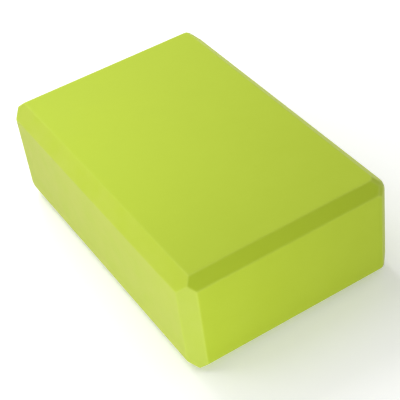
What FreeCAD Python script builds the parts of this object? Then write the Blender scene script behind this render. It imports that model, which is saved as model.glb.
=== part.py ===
import FreeCAD, Part

import os

import Sketcher

# A yoga block: one solid block of firm closed-cell foam, with flat faces and a straight bevel on every edge.
# It is sawn to size from a thick foam slab, and then each of its twelve edges is planed in one straight pass
# from end to end. The passes run on into each other, so at every corner three bevels meet in a point, with
# mitres between them and no facet of its own. Last, the arrises that the passes leave are rubbed round.
# Frame: millimetres, +X along the length, +Y across the width and +Z up. The origin is on the floor, under
# the middle of the block as it lies flat.

# The driving dimensions: name, millimetres, what it measures.
SIZES = [
    ("block_length", 230, "overall, along X"),
    ("block_width", 150, "overall, along Y"),
    ("block_height", 75, "overall, along Z, lying flat"),
    ("rim_bevel", 7.5, "setback of the bevels round the top and bottom faces, from both faces"),
    ("corner_bevel", 9, "setback of the bevels down the four upright edges, from both faces"),
    ("arris_round", 2, "radius on every arris of the bevelled block"),
]

# How a sketch's constraints name its origin and the two ends of a line.
ORIGIN = (-1, 1)
START = 1
END = 2


def make_sheet(doc):
    """Write the driving dimensions to a sheet, each in a cell that carries its name."""
    sheet = doc.addObject("Spreadsheet::Sheet", "Sizes")
    for row, (name, millimetres, meaning) in enumerate(SIZES, start=1):
        sheet.set(f"A{row}", name)
        sheet.set(f"B{row}", str(millimetres))
        sheet.set(f"C{row}", meaning)
        sheet.setAlias(f"B{row}", name)
    doc.recompute()
    return sheet


def new_sketch(body, name, plane_role):
    """Start a sketch on one of the body's own origin planes."""
    sketch = body.newObject("Sketcher::SketchObject", name)
    plane = next(feature for feature in body.Origin.OriginFeatures if feature.Role == plane_role)
    sketch.AttachmentSupport = [(plane, "")]
    sketch.MapMode = "FlatFace"
    return sketch


def draw_polygon(sketch, points):
    """Draw a closed ring of straight lines through points, joined end to end, and return the lines."""
    corners = [FreeCAD.Vector(across, up, 0) for across, up in points]
    lines = []
    for here, there in zip(corners, corners[1:] + corners[:1]):
        lines.append(sketch.addGeometry(Part.LineSegment(here, there), False))
    for line, following in zip(lines, lines[1:] + lines[:1]):
        sketch.addConstraint(Sketcher.Constraint("Coincident", line, END, following, START))
    return lines


def level(sketch, line):
    """Hold a line along the sketch's first axis."""
    sketch.addConstraint(Sketcher.Constraint("Horizontal", line))


def plumb(sketch, line):
    """Hold a line along the sketch's second axis."""
    sketch.addConstraint(Sketcher.Constraint("Vertical", line))


def dimension(sketch, kind, low_point, high_point, expression):
    """Tie the distance from the lower of two points to the higher, along one axis, to the sheet."""
    span = sketch.getPoint(*high_point) - sketch.getPoint(*low_point)
    drawn = span.x if kind == "DistanceX" else span.y
    index = sketch.addConstraint(Sketcher.Constraint(kind, *low_point, *high_point, drawn))
    sketch.setExpression(f"Constraints[{index}]", expression)


def place_point(sketch, point, side_across, side_up, half_across, half_up):
    """Hold a point half_across and half_up from the sketch's origin, on the side that each sign gives."""
    for kind, side, half in (("DistanceX", side_across, half_across), ("DistanceY", side_up, half_up)):
        low_point, high_point = (ORIGIN, point) if side > 0 else (point, ORIGIN)
        dimension(sketch, kind, low_point, high_point, half)


def saw_blank(doc, body, sheet):
    """Saw the plain block out of the slab: length by width on the floor, and height up from it."""
    half_x = sheet.block_length / 2
    half_y = sheet.block_width / 2
    sketch = new_sketch(body, "blank_plan", "XY_Plane")
    ring = draw_polygon(sketch, [(-half_x, -half_y), (half_x, -half_y), (half_x, half_y), (-half_x, half_y)])
    front, right, back, left = ring
    level(sketch, front)
    level(sketch, back)
    plumb(sketch, right)
    plumb(sketch, left)
    place_point(sketch, (front, START), -1, -1, "Sizes.block_length / 2", "Sizes.block_width / 2")
    place_point(sketch, (back, START), 1, 1, "Sizes.block_length / 2", "Sizes.block_width / 2")

    blank = body.newObject("PartDesign::Pad", "blank")
    blank.Profile = sketch
    blank.setExpression("Length", "Sizes.block_height")
    doc.recompute()


def plane_four_edges(doc, body, sheet, name, plane_role, across, up, setback, lift=None):
    """Plane the four edges that run square to plane_role, each in one pass right through the block.

    Looking along the pass, the block is a rectangle, the size across wide and the size up high, centred on
    the sketch's origin, which stands lift above the floor. Each pass takes a right-angled triangle off one
    corner of it, whose two short sides are the setback.
    """
    half_across = getattr(sheet, across) / 2
    half_up = getattr(sheet, up) / 2
    cut = getattr(sheet, setback)
    sketch = new_sketch(body, f"{name}_profile", plane_role)
    if lift:
        sketch.setExpression("AttachmentOffset.Base.y", lift)
    for side_across, side_up in ((-1, -1), (1, -1), (1, 1), (-1, 1)):
        corner = (side_across * half_across, side_up * half_up)
        along = (corner[0] - side_across * cut, corner[1])
        upward = (corner[0], corner[1] - side_up * cut)
        flat_side, bevel, upright_side = draw_polygon(sketch, [corner, along, upward])
        level(sketch, flat_side)
        plumb(sketch, upright_side)
        corner_point = (flat_side, START)
        place_point(sketch, corner_point, side_across, side_up, f"Sizes.{across} / 2", f"Sizes.{up} / 2")
        for kind, side, far_point in (
            ("DistanceX", side_across, (bevel, START)),
            ("DistanceY", side_up, (bevel, END)),
        ):
            low_point, high_point = (far_point, corner_point) if side > 0 else (corner_point, far_point)
            dimension(sketch, kind, low_point, high_point, f"Sizes.{setback}")

    volume_before = body.Shape.Volume
    passes = body.newObject("PartDesign::Pocket", name)
    passes.Profile = sketch
    passes.Type = "ThroughAll"
    passes.SideType = "Symmetric"
    doc.recompute()
    if not 0 < body.Shape.Volume < volume_before:
        raise RuntimeError(f"{name} took nothing off the block")
    return passes


def rub_arrises(doc, body, base):
    """Round every arris that the passes left, the mitres and the points at the corners among them."""
    rounds = body.newObject("PartDesign::Fillet", "arrises")
    rounds.Base = (base, [])
    rounds.UseAllEdges = True
    rounds.setExpression("Radius", "Sizes.arris_round")
    doc.recompute()


def make_foam_block(doc, sheet):
    """The block: sawn out, planed along its upright, long and end edges in turn, and rubbed round."""
    body = doc.addObject("PartDesign::Body", "foam_block")
    body.Label = "foam_block"
    saw_blank(doc, body, sheet)
    mid_height = "Sizes.block_height / 2"
    plane_four_edges(
        doc, body, sheet, "upright_bevels", "XY_Plane", "block_length", "block_width", "corner_bevel"
    )
    plane_four_edges(
        doc, body, sheet, "long_bevels", "YZ_Plane", "block_width", "block_height", "rim_bevel", mid_height
    )
    end_passes = plane_four_edges(
        doc, body, sheet, "end_bevels", "XZ_Plane", "block_length", "block_height", "rim_bevel", mid_height
    )
    rub_arrises(doc, body, end_passes)
    body.Placement = FreeCAD.Placement()
    return body


def check_document(doc, sub_parts):
    """Stop before anything is written if a feature failed, a sketch is loose or a piece is not one solid."""
    for item in doc.Objects:
        if "Invalid" in item.State or "Error" in item.State:
            raise RuntimeError(f"{item.Label} failed: {item.State}")
        if item.isDerivedFrom("Sketcher::SketchObject") and not item.FullyConstrained:
            raise RuntimeError(f"{item.Label} is not held by its dimensions")
    for sub_part in sub_parts:
        shape = sub_part.Shape
        if shape.isNull() or not shape.isValid() or len(shape.Solids) != 1:
            raise RuntimeError(f"{sub_part.Label} is not one valid solid")


def write_parts(sub_parts):
    """Write each sub-part to a file with its own name."""
    os.makedirs("parts", exist_ok=True)
    for sub_part in sub_parts:
        sub_part.Shape.exportStep(f"parts/{sub_part.Label}.step")
        print(f"{sub_part.Label}: {sub_part.Shape.Volume / 1000:.1f} cubic centimetres")


def main():
    doc = FreeCAD.newDocument("YogaBlock")
    sheet = make_sheet(doc)
    sub_parts = [make_foam_block(doc, sheet)]
    doc.recompute()
    check_document(doc, sub_parts)
    write_parts(sub_parts)


main()
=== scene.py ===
import itertools
import math

import bpy
import numpy as np
from mathutils import Matrix, Vector


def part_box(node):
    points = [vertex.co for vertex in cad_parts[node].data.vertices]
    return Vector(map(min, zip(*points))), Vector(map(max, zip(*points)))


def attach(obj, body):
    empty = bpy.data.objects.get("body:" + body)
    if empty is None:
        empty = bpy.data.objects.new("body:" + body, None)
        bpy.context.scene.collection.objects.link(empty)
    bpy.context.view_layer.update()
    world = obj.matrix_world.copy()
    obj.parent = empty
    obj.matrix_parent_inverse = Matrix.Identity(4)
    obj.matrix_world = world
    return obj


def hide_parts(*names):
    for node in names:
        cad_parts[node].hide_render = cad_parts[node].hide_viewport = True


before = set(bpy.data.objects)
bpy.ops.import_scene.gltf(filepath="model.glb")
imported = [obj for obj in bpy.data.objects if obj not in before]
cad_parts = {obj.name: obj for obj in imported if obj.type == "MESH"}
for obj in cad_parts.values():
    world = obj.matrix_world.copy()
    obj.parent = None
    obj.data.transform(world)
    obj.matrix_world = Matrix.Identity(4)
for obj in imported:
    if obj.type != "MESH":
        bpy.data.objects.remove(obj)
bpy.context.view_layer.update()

# The foam block. One solid block of firm closed-cell foam, lime green right through, sawn out of a slab.
# Every edge is planed off in one straight pass from end to end, so the bevels meet in mitres at the corners.
# Use has worn some corners. Its colour has paler arrises, rubbed and with painted highlights, scuffed
# uprights with painted reflection, bloom with painted reflection on the long sides, and painted shade on
# the end bevels and in the cells' pits.

# How far the bevels are set back, for the edges along the block's length, along its width and upright.
UPRIGHT_BEVEL = 0.0090
TOP_BEVELS = (0.0090, 0.0075, UPRIGHT_BEVEL)
BOTTOM_BEVELS = (0.0075, 0.0065, UPRIGHT_BEVEL)
ARRIS_ROUND = 0.002
SAWN_WAVE_DEPTH = 0.00010
SAWN_WAVE_LENGTHS = (0.034, 0.090)
# The corners that are worn, by their side along each axis, and how far down their points are.
CORNER_WEAR = {
    (-1, 1, 1): 0.0006,
    (1, 1, 1): 0.0014,
    (-1, -1, -1): 0.0012,
    (-1, 1, -1): 0.0010,
    (1, 1, -1): 0.0004,
}
MITRE_WEAR_SHARE = 0.8
# How much of each mark the foam shows, as shares, and how steeply the rubbing and painted highlight
# climb to a corner. Arrises are rubbed and painted with highlights, uprights scuffed and painted with
# reflection, end bevels painted with shade, and the long sides bloomed and painted with reflection.
EDGE_RUBBED_AND_HIGHLIGHT = 0.12
CORNER_RUBBED_AND_HIGHLIGHT = 0.50
CORNER_POWER = 8
UPRIGHT_SCUFF_AND_REFLECTION = 0.070
END_BEVEL_PAINTED_SHADE = 0.36
NEAR_END_BLOOM_AND_REFLECTION_LOSS = 0.5
BACK_WEAR_AND_REFLECTION_LOSS = 0.7
# The mesh's lines lie this far apart, closer in a band along every edge.
COARSE_STEP = 0.004
FINE_STEP = 0.0004
FINE_BAND = 0.0130

block_low, block_high = (np.array(corner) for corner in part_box("foam_block"))
block_middle = (block_low + block_high) / 2
block_half = (block_high - block_low) / 2


def planed_planes(half, top_bevels, bottom_bevels, corner_wear, mitre_share):
    """The outward normals of all the planes that bound the block, and each one's distance from the middle.

    A sign of -1, 0 or 1 on each axis names a face, with one sign set, a bevel, with two, or a corner's tip,
    with three. A face lies half the block's size out, and a bevel is set back from its edge by the size
    given for the axis that the edge runs along. The three bevels at a corner meet in a point, and where it
    is worn, the tip's plane lies that far below it. Doubling one sign of a tip names the mitre of the two
    bevels on that axis, worn down by its share of that.
    """
    flats = np.array([sign for sign in itertools.product((-1, 0, 1), repeat=3) if 0 in sign and any(sign)])
    is_bevel = np.abs(flats).sum(axis=1) == 2
    flat_bevels = np.where(flats[:, 2:] > 0, top_bevels, bottom_bevels)
    flat_setback = is_bevel * ((flats == 0) * flat_bevels).sum(axis=1)
    tips = np.array(list(corner_wear))
    tip_wear = np.array(list(corner_wear.values()))
    tip_bevels = np.where(tips[:, 2:] > 0, top_bevels, bottom_bevels)
    tip_setback = tip_bevels.sum(axis=1) / 2
    mitres = (tips[:, None] * (1 + np.eye(3))).reshape(-1, 3)
    mitre_setback = (tip_bevels.sum(axis=1, keepdims=True) - tip_bevels).ravel()
    signs = np.concatenate([flats, tips, mitres])
    setback = np.concatenate([flat_setback, tip_setback, mitre_setback])
    wear = np.concatenate([np.zeros(len(flats)), tip_wear, mitre_share * np.repeat(tip_wear, 3)])
    length = np.linalg.norm(signs, axis=1)
    return signs / length[:, None], (np.abs(signs) @ half - setback) / length - wear


def ruled_lines(half, band, coarse, fine, samples=4001, climb_rate=12):
    """Places along one axis from -half to half: a coarse step apart, and a fine step apart at both ends.

    The number of lines per metre climbs smoothly over a band at each end, and the places are where its
    running total passes whole numbers.
    """
    place = np.linspace(-half, half, samples)
    climb = 1 / (1 + np.exp(-climb_rate * (np.abs(place) - half + band) / band))
    per_metre = 1 / coarse + (1 / fine - 1 / coarse) * climb
    total = np.concatenate(([0], np.cumsum((per_metre[1:] + per_metre[:-1]) / 2 * np.diff(place))))
    return np.interp(np.linspace(0, total[-1], int(round(total[-1])) + 1), total, place)


def ruled_box(lines):
    """Points and quads of a closed box: six grids on three sets of lines, joined along the edges."""
    counts = [len(line) for line in lines]
    sides = []
    for axis in range(3):
        across, up = (axis + 1) % 3, (axis + 2) % 3
        for end in (0, counts[axis] - 1):
            place = [None, None, None]
            place[axis] = np.full((counts[across], counts[up]), end)
            place[across], place[up] = np.indices((counts[across], counts[up]))
            number = np.ravel_multi_index(place, counts)
            ring = np.stack([number[:-1, :-1], number[1:, :-1], number[1:, 1:], number[:-1, 1:]], axis=-1)
            ring = ring.reshape(-1, 4)
            sides.append(ring if end else ring[:, ::-1])
    numbers, quads = np.unique(np.concatenate(sides), return_inverse=True)
    steps = np.unravel_index(numbers, counts)
    points = np.stack([line[step] for line, step in zip(lines, steps)], axis=1)
    return points, quads.reshape(-1, 4)


def planed_surface(rays, normals, reach, sharpness, newton_steps=12):
    """Points where rays from the middle leave the planed block, and each plane's share in each point.

    Outside a plane by g, a point has g > 0. The surface is where the soft maximum of all the g, the
    logarithm of the sum of exp(sharpness times g), over sharpness, is nought: flat on a plane, round where
    two planes meet. Newton's steps come in along each ray from the box's own side.
    """
    stretch = np.ones(len(rays))
    for _ in range(newton_steps):
        gap = sharpness * (stretch[:, None] * (rays @ normals.T) - reach)
        most = gap.max(axis=1, keepdims=True)
        share = np.exp(gap - most)
        total = share.sum(axis=1, keepdims=True)
        share /= total
        height = (most + np.log(total))[:, 0] / sharpness
        slope = (share * (rays @ normals.T)).sum(axis=1)
        stretch -= height / slope
    return stretch[:, None] * rays, share


def sawn_waves(points, shortest, longest, count=9, seed=4):
    """A slow unevenness from 0 to 1: the mean of plane waves with set directions, lengths and phases."""
    draw = np.random.default_rng(seed)
    direction = draw.normal(size=(count, 3))
    direction /= np.linalg.norm(direction, axis=1, keepdims=True)
    length = draw.uniform(shortest, longest, count)
    phase = draw.uniform(0, 2 * np.pi, count)
    return 0.5 + 0.5 * np.sin(points @ (2 * np.pi * direction / length[:, None]).T + phase).mean(axis=1)


def make_mesh(name, points, quads):
    """A smooth-shaded mesh from an array of points and an array of quads."""
    mesh = bpy.data.meshes.new(name)
    mesh.from_pydata(points.tolist(), [], quads.tolist())
    mesh.polygons.foreach_set("use_smooth", np.ones(len(quads), bool))
    mesh.update()
    return mesh


def make_object(mesh):
    """An object for a mesh, at the origin, in the scene."""
    made = bpy.data.objects.new(mesh.name, mesh)
    bpy.context.scene.collection.objects.link(made)
    return made


def write_values(mesh, name, values):
    """A named value on each point of a mesh, for a material to read."""
    mesh.attributes.new(name, "FLOAT", "POINT").data.foreach_set("value", values)


plane_normals, plane_reach = planed_planes(
    block_half, TOP_BEVELS, BOTTOM_BEVELS, CORNER_WEAR, MITRE_WEAR_SHARE
)
block_lines = [ruled_lines(half, FINE_BAND, COARSE_STEP, FINE_STEP) for half in block_half]
box_points, block_quads = ruled_box(block_lines)
# At an arris of a bevel, where two planes turn by an eighth of a circle, the soft maximum cuts as deep as a
# round of ARRIS_ROUND does.
ARRIS_SHARPNESS = math.log(2) / (ARRIS_ROUND * (1 - math.cos(math.pi / 8)))
block_points, plane_share = planed_surface(box_points, plane_normals, plane_reach, ARRIS_SHARPNESS)
outward = plane_share @ plane_normals
# How far along the block and how far forward each point lies, and how near a corner, all from 0 to 1.
towards_near_end = 0.5 + 0.5 * block_points[:, 0] / block_half[0]
towards_front = 0.5 - 0.5 * block_points[:, 1] / block_half[1]
towards_corner = (np.linalg.norm(block_points, axis=1) / np.linalg.norm(block_half)) ** CORNER_POWER
block_points += block_middle
block_points -= outward * (SAWN_WAVE_DEPTH * sawn_waves(block_points, *SAWN_WAVE_LENGTHS))[:, None]

block_mesh = make_mesh("yoga_block_foam", block_points, block_quads)
# An arris is where no one plane has the whole share, 1 where two share alike. It is paler, rubbed and
# with a painted highlight, and most so at a corner.
arris = 2 * (1 - (plane_share**2).sum(axis=1))
rubbed_and_highlight = EDGE_RUBBED_AND_HIGHLIGHT + (CORNER_RUBBED_AND_HIGHLIGHT - EDGE_RUBBED_AND_HIGHLIGHT) * towards_corner
write_values(block_mesh, "rubbed_and_highlight", arris * rubbed_and_highlight)
# Foam that faces out over a long side, the front one most, gets bloom and painted reflection, less of
# them towards the near end.
front_wear_and_reflection = 1 - BACK_WEAR_AND_REFLECTION_LOSS * (1 - towards_front)
bloom_and_reflection_left = 1 - NEAR_END_BLOOM_AND_REFLECTION_LOSS * towards_near_end
write_values(block_mesh, "bloom_and_reflection", np.abs(outward[:, 1]) * bloom_and_reflection_left * front_wear_and_reflection)
# The upright bevels get paler scuffs with painted reflection, and the bevels across the ends painted shade.
slants = plane_normals != 0
is_upright = slants[:, 0] & slants[:, 1] & ~slants[:, 2]
is_end_bevel = slants[:, 0] & slants[:, 2] & ~slants[:, 1]
write_values(block_mesh, "scuff_and_reflection", UPRIGHT_SCUFF_AND_REFLECTION * front_wear_and_reflection * plane_share[:, is_upright].sum(axis=1))
write_values(block_mesh, "end_bevel_painted_shade", END_BEVEL_PAINTED_SHADE * plane_share[:, is_end_bevel].sum(axis=1))
foam_block = make_object(block_mesh)

FOAM_GREEN = (0.526, 0.662, 0.045, 1)
FOAM_GREEN_DEEP = (0.508, 0.644, 0.035, 1)
# Painted shade: a darker green laid into the pits of the cells and over the bevels across the ends.
PAINTED_SHADE_GREEN = (0.420, 0.560, 0.020, 1)
PIT_PAINTED_SHADE_SHARE = 0.20
# Paler green of rubbed arrises, partly a painted highlight.
RUBBED_AND_HIGHLIGHT_GREEN = (0.640, 0.770, 0.130, 1)
# Paler colour of scuffs on the uprights, partly a painted reflection.
SCUFF_AND_REFLECTION_PALE = (0.800, 0.800, 0.600, 1)
# Straw colour of bloom on the long sides, partly a painted reflection.
BLOOM_AND_REFLECTION_STRAW = (0.640, 0.655, 0.170, 1)
BLOOM_AND_REFLECTION_LEAST, BLOOM_AND_REFLECTION_MOST = 0.13, 0.41
MOTTLE_PATCH = 0.030
BLOOM_AND_REFLECTION_PATCH = 0.016
PATCH_LOW, PATCH_HIGH = 0.30, 0.70
MOTTLE_DETAIL, MOTTLE_ROUGHNESS = 4.0, 0.60
BLOOM_AND_REFLECTION_DETAIL, BLOOM_AND_REFLECTION_ROUGHNESS = 3.0, 0.55
CELL_SIZE = 0.0006
CELL_DEPTH = 0.0001
CELL_BUMP = 0.35
# How far from a cell's middle its dome starts to fall and where it ends, as shares of the cell's size.
CELL_CROWN, CELL_RIM = 0.1, 0.9
CELL_GRAIN_SHARE = 0.45
CELL_GRAIN_DETAIL, CELL_GRAIN_ROUGHNESS = 3.0, 0.65
FOAM_ROUGH_LEAST, FOAM_ROUGH_MOST = 0.58, 0.72
FOAM_DIFFUSE_ROUGHNESS = 0.30
FOAM_GLOSS = 0.10
FOAM_SHEEN = 0.22
FOAM_SHEEN_ROUGHNESS = 0.50
FOAM_SHEEN_TINT = (1.0, 0.90, 0.65, 1)


def feed(tree, socket, value):
    """Link an output to an input socket, or set the socket to a plain value."""
    if isinstance(value, bpy.types.NodeSocket):
        tree.links.new(value, socket)
    else:
        socket.default_value = value


def add_node(tree, kind, settings=(), **inputs):
    """A node of a tree, with its settings and the values or links of its inputs, by socket name."""
    node = tree.nodes.new(kind)
    for name, value in dict(settings).items():
        setattr(node, name, value)
    for name, value in inputs.items():
        feed(tree, node.inputs[name.replace("_", " ")], value)
    return node


def combined(tree, operation, first, second):
    """The result of one operation, such as MULTIPLY or MAXIMUM, on two values."""
    node = add_node(tree, "ShaderNodeMath", {"operation": operation})
    feed(tree, node.inputs[0], first)
    feed(tree, node.inputs[1], second)
    return node.outputs[0]


def written_value(tree, name):
    """A value that write_values put on the points of the mesh."""
    return add_node(tree, "ShaderNodeAttribute", {"attribute_name": name}).outputs["Fac"]


def moved_range(tree, value, from_low, from_high, to_low, to_high, **settings):
    """A value carried from one range to another and held within it."""
    node = add_node(
        tree, "ShaderNodeMapRange", settings,
        Value=value, From_Min=from_low, From_Max=from_high, To_Min=to_low, To_Max=to_high,
    )
    return node.outputs["Result"]


def mixed_colour(tree, share, first, second):
    """The colour that lies a share of the way from the first colour to the second."""
    node = add_node(tree, "ShaderNodeMix", {"data_type": "RGBA"})
    sockets = {socket.identifier: socket for socket in node.inputs}
    feed(tree, sockets["Factor_Float"], share)
    feed(tree, sockets["A_Color"], first)
    feed(tree, sockets["B_Color"], second)
    return next(socket for socket in node.outputs if socket.identifier == "Result_Color")


def patches(tree, place, size, detail, roughness):
    """Soft patches about one size across, from 0 to 1, most of them between PATCH_LOW and PATCH_HIGH."""
    node = add_node(
        tree, "ShaderNodeTexNoise", Vector=place, Scale=1 / size, Detail=detail, Roughness=roughness
    )
    return node.outputs["Fac"]


def closed_cells_group():
    """Cut foam cells: small domes of one size, with a finer grain on their walls, and height 0 in the pits.

    Each dome falls straight from its crown to its rim, and the height is a weighted mean of dome and grain.
    """
    tree = bpy.data.node_groups.new("closed_cells", "ShaderNodeTree")
    tree.interface.new_socket("Place", in_out="INPUT", socket_type="NodeSocketVector")
    tree.interface.new_socket("Cells per metre", in_out="INPUT", socket_type="NodeSocketFloat")
    tree.interface.new_socket("Height", in_out="OUTPUT", socket_type="NodeSocketFloat")
    given = tree.nodes.new("NodeGroupInput").outputs
    cell = add_node(
        tree, "ShaderNodeTexVoronoi", Vector=given["Place"], Scale=given["Cells per metre"]
    )
    dome = moved_range(tree, cell.outputs["Distance"], CELL_CROWN, CELL_RIM, 1.0, 0.0)
    grain = add_node(
        tree, "ShaderNodeTexNoise", Vector=given["Place"], Scale=given["Cells per metre"],
        Detail=CELL_GRAIN_DETAIL, Roughness=CELL_GRAIN_ROUGHNESS,
    )
    dome_part = combined(tree, "MULTIPLY", dome, 1 - CELL_GRAIN_SHARE)
    grain_part = combined(tree, "MULTIPLY", grain.outputs["Fac"], CELL_GRAIN_SHARE)
    height = combined(tree, "ADD", dome_part, grain_part)
    tree.links.new(height, tree.nodes.new("NodeGroupOutput").inputs["Height"])
    return tree


def eva_foam_material():
    """Matt lime-green foam: mottled, with fine cut cells, and with the marks that the mesh's values place.

    The colour is mixed in steps, each laid over the last: deep and light green by the mottle, painted
    shade in the pits of the cells and on the bevels across the ends, bloom with painted reflection in
    patches on the long sides, scuffs with painted reflection, and rubbed arrises with painted highlights.
    """
    material = bpy.data.materials.new("eva_foam_lime")
    material.use_nodes = True
    tree = material.node_tree
    place = add_node(tree, "ShaderNodeTexCoord").outputs["Object"]

    mottle = patches(tree, place, MOTTLE_PATCH, MOTTLE_DETAIL, MOTTLE_ROUGHNESS)
    mottle_share = moved_range(tree, mottle, PATCH_LOW, PATCH_HIGH, 0.0, 1.0)
    colour = mixed_colour(tree, mottle_share, FOAM_GREEN_DEEP, FOAM_GREEN)

    cells = add_node(tree, "ShaderNodeGroup", {"node_tree": closed_cells_group()})
    feed(tree, cells.inputs["Place"], place)
    feed(tree, cells.inputs["Cells per metre"], 1 / CELL_SIZE)
    # The pits of the cells are painted darker: painted shade.
    pit_painted_shade = moved_range(tree, cells.outputs["Height"], 0.0, 1.0, PIT_PAINTED_SHADE_SHARE, 0.0)
    colour = mixed_colour(tree, pit_painted_shade, colour, PAINTED_SHADE_GREEN)
    # The bevels across the ends get painted shade.
    colour = mixed_colour(tree, written_value(tree, "end_bevel_painted_shade"), colour, PAINTED_SHADE_GREEN)

    # Straw patches on the long sides: bloom with painted reflection.
    bloom_and_reflection_patches = patches(tree, place, BLOOM_AND_REFLECTION_PATCH, BLOOM_AND_REFLECTION_DETAIL, BLOOM_AND_REFLECTION_ROUGHNESS)
    bloom_and_reflection_share = moved_range(tree, bloom_and_reflection_patches, PATCH_LOW, PATCH_HIGH, BLOOM_AND_REFLECTION_LEAST, BLOOM_AND_REFLECTION_MOST)
    bloom_and_reflection_share = combined(tree, "MULTIPLY", bloom_and_reflection_share, written_value(tree, "bloom_and_reflection"))
    colour = mixed_colour(tree, bloom_and_reflection_share, colour, BLOOM_AND_REFLECTION_STRAW)
    # Paler uprights: scuffs with painted reflection.
    colour = mixed_colour(tree, written_value(tree, "scuff_and_reflection"), colour, SCUFF_AND_REFLECTION_PALE)
    # Paler arrises: rubbing with painted highlights.
    colour = mixed_colour(tree, written_value(tree, "rubbed_and_highlight"), colour, RUBBED_AND_HIGHLIGHT_GREEN)

    shader = tree.nodes["Principled BSDF"]
    bump = add_node(
        tree, "ShaderNodeBump", Height=cells.outputs["Height"], Strength=CELL_BUMP, Distance=CELL_DEPTH
    )
    feed(tree, shader.inputs["Base Color"], colour)
    feed(tree, shader.inputs["Normal"], bump.outputs["Normal"])
    roughness = moved_range(tree, mottle, PATCH_LOW, PATCH_HIGH, FOAM_ROUGH_LEAST, FOAM_ROUGH_MOST)
    feed(tree, shader.inputs["Roughness"], roughness)
    feed(tree, shader.inputs["Diffuse Roughness"], FOAM_DIFFUSE_ROUGHNESS)
    feed(tree, shader.inputs["Specular IOR Level"], FOAM_GLOSS)
    feed(tree, shader.inputs["Sheen Weight"], FOAM_SHEEN)
    feed(tree, shader.inputs["Sheen Roughness"], FOAM_SHEEN_ROUGHNESS)
    feed(tree, shader.inputs["Sheen Tint"], FOAM_SHEEN_TINT)
    return material


block_mesh.materials.append(eva_foam_material())
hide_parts("foam_block")
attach(foam_block, "root")

# The floor. A wide sheet of plain white card that the block lies on. It is lit as the block is, and what
# looks at it sees some white of its own added, more of it further out, so that the card goes to white all
# round and still takes the block's shadow.

FLOOR_HALF = 4.0
FLOOR_GAP = 0.0002
FLOOR_WHITE = (0.92, 0.92, 0.92, 1)
FLOOR_ROUGHNESS = 0.9
FLOOR_GLOSS = 0.0
PURE_WHITE = (1, 1, 1, 1)
# How far from the middle the card's own white starts to climb and where it is full, and how strong it is.
FLOOR_NEAR, FLOOR_FAR = 0.14, 0.45
FLOOR_LIFT_NEAR, FLOOR_LIFT_FAR = 0.25, 0.64

floor_points = np.array([(-1, -1, 0), (1, -1, 0), (1, 1, 0), (-1, 1, 0)]) * FLOOR_HALF - (0, 0, FLOOR_GAP)
floor_mesh = make_mesh("floor", floor_points, np.array([[0, 1, 2, 3]]))
floor = make_object(floor_mesh)


def seen_directly(tree):
    """1 for rays from the camera and those that a mirror or glass sends on, and 0 for the light itself."""
    path = add_node(tree, "ShaderNodeLightPath").outputs
    seen = combined(tree, "MAXIMUM", path["Is Camera Ray"], path["Is Glossy Ray"])
    return combined(tree, "MAXIMUM", seen, path["Is Transmission Ray"])


def white_card_material():
    """Matt white card, whose own white climbs smoothly from near the block outwards, and lights nothing."""
    material = bpy.data.materials.new("white_card")
    material.use_nodes = True
    tree = material.node_tree
    place = add_node(tree, "ShaderNodeTexCoord").outputs["Object"]
    away = add_node(tree, "ShaderNodeVectorMath", {"operation": "LENGTH"}, Vector=place).outputs["Value"]
    lift = moved_range(
        tree, away, FLOOR_NEAR, FLOOR_FAR, FLOOR_LIFT_NEAR, FLOOR_LIFT_FAR, interpolation_type="SMOOTHSTEP"
    )
    shader = tree.nodes["Principled BSDF"]
    feed(tree, shader.inputs["Base Color"], FLOOR_WHITE)
    feed(tree, shader.inputs["Roughness"], FLOOR_ROUGHNESS)
    feed(tree, shader.inputs["Specular IOR Level"], FLOOR_GLOSS)
    feed(tree, shader.inputs["Emission Color"], PURE_WHITE)
    feed(tree, shader.inputs["Emission Strength"], combined(tree, "MULTIPLY", lift, seen_directly(tree)))
    return material


floor_mesh.materials.append(white_card_material())

# The light. A large softbox stands behind the far end, and a small lamp hangs over the front long side. A
# low strip lights the near corner, a weak fill stands behind the hidden long side, and the white room does
# the rest.

LAMPS = {
    "end_softbox": {"azimuth": 270, "elevation": 42, "distance": 0.80, "size": (0.50, 0.50), "power": 4.11},
    "side_lamp": {"azimuth": 0, "elevation": 56, "distance": 0.32, "size": (0.15, 0.15), "power": 0.295},
    "front_strip": {"azimuth": 60, "elevation": 1, "distance": 0.40, "size": (0.40, 0.06), "power": 0.493},
    "back_fill": {"azimuth": 180, "elevation": 12, "distance": 0.80, "size": (0.50, 0.30), "power": 0.40},
}
ROOM_LIGHT = 0.40


def way_out(azimuth, elevation):
    """The unit vector from the block to a stand. Azimuth 0 faces the front, and 90 the near end."""
    turn, rise = math.radians(azimuth), math.radians(elevation)
    return Vector((math.sin(turn) * math.cos(rise), -math.cos(turn) * math.cos(rise), math.sin(rise)))


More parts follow.
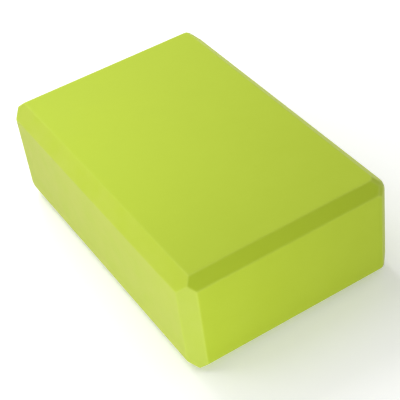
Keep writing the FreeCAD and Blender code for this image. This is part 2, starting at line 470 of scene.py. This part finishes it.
def softbox(name, azimuth, elevation, distance, size, power):
    """A rectangular lamp on a stand round the block, turned to face the block's middle."""
    lamp = bpy.data.lights.new(name, "AREA")
    lamp.shape = "RECTANGLE"
    lamp.size, lamp.size_y = size
    lamp.energy = power
    stand = bpy.data.objects.new(name, lamp)
    out = way_out(azimuth, elevation)
    stand.location = Vector(block_middle) + distance * out
    stand.rotation_euler = (-out).to_track_quat("-Z", "Y").to_euler()
    stand.visible_camera = False
    bpy.context.scene.collection.objects.link(stand)


for lamp_name, lamp in LAMPS.items():
    softbox(lamp_name, **lamp)

room = bpy.data.worlds.new("white_room")
bpy.context.scene.world = room
room.use_nodes = True
room_tree = room.node_tree
room_strength = moved_range(room_tree, seen_directly(room_tree), 0.0, 1.0, ROOM_LIGHT, 1.0)
backdrop = room_tree.nodes["Background"]
feed(room_tree, backdrop.inputs["Color"], PURE_WHITE)
feed(room_tree, backdrop.inputs["Strength"], room_strength)

# The camera. It stands between the front long side and the near end, rather nearer the end, and looks down
# on the near corner through a long lens, leaning a little.

CAMERA_AIM = Vector((0.0176, -0.0063, 0.0375))
CAMERA_DISTANCE = 0.7546
CAMERA_AZIMUTH = 63.16
CAMERA_ELEVATION = 40.408
CAMERA_ROLL = math.radians(-8.303)
CAMERA_LENS = 104.46
CAMERA_SENSOR = 36.0

back = way_out(CAMERA_AZIMUTH, CAMERA_ELEVATION)
level_right = Vector((0, 0, 1)).cross(back).normalized()
level_up = back.cross(level_right)
right = math.cos(CAMERA_ROLL) * level_right + math.sin(CAMERA_ROLL) * level_up
up = back.cross(right)
camera_data = bpy.data.cameras.new("camera")
camera_data.lens = CAMERA_LENS
camera_data.sensor_width = CAMERA_SENSOR
camera = bpy.data.objects.new("camera", camera_data)
camera_turn = Matrix((right, up, back)).transposed().to_4x4()
camera.matrix_world = Matrix.Translation(CAMERA_AIM + CAMERA_DISTANCE * back) @ camera_turn
bpy.context.scene.collection.objects.link(camera)
bpy.context.scene.camera = camera
bpy.context.scene.view_settings.view_transform = "Standard"
